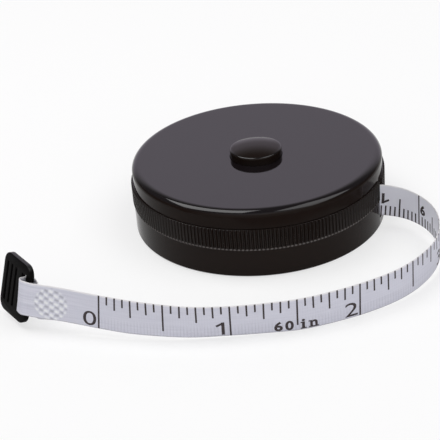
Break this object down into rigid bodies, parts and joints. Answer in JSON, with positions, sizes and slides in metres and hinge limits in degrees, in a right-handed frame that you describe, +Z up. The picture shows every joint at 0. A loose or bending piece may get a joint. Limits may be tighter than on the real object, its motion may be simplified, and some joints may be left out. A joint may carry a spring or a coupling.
{
  "type": "retractable cloth tape measure",
  "caption": "Round pocket tape measure: printed cloth tape on a spring reel inside a split, knurled case, with a push-button release and a pull tab on the tape's end.",
  "frame": {"origin": "on the case's axis, on the surface that the case stands on", "axes": "+Z up through the button; -Y towards the front, where the drawn-out tape lies; +X towards the side where the tape leaves the case"},
  "size_m": [0.0892, 0.0766, 0.0169],
  "materials": {
    "case_plastic": "glossy moulded black",
    "button_plastic": "glossy moulded black",
    "tab_plastic": "satin moulded black",
    "tape_cloth": "woven glass fibre, coated white and printed",
    "reel_plastic": "natural moulded plastic",
    "spring_steel": "bright spring steel",
    "brake_rubber": "matt friction rubber"
  },
  "bodies": {
    "case": {"lower_case": "case_plastic", "top_cover": "case_plastic", "brake_ring": "brake_rubber", "arbor": "spring_steel", "lift_spring": "spring_steel", "tape_run": "tape_cloth"},
    "button": {"release_button": "button_plastic", "thrust_washer": "reel_plastic"},
    "spool": {"reel": "reel_plastic", "reel_cover": "reel_plastic", "tape_anchor_pin": "reel_plastic", "mainspring": "spring_steel", "tape_coil": "tape_cloth"},
    "tab": {"end_tab": "tab_plastic"}
  },
  "joints": [
    {"name": "button_press", "type": "slide", "parent": "case", "child": "button", "axis": [0, 0, -1], "range_m": [0, 0.0008], "stiffness_N_per_m": 1500, "springref_m": -0.001, "deforming": ["lift_spring"]},
    {"name": "spool_spin", "type": "hinge", "parent": "button", "child": "spool", "pos_m": [0, 0, 0.0063], "axis": [0, 0, 1], "range_deg": [-380, 5700]},
    {"name": "tab_swing", "type": "hinge", "parent": "case", "child": "tab", "pos_m": [-0.04736, -0.03797, 0.0068], "axis": [0.252, 0.1232, 0.9599], "range_deg": [-60, 140]}
  ]
}
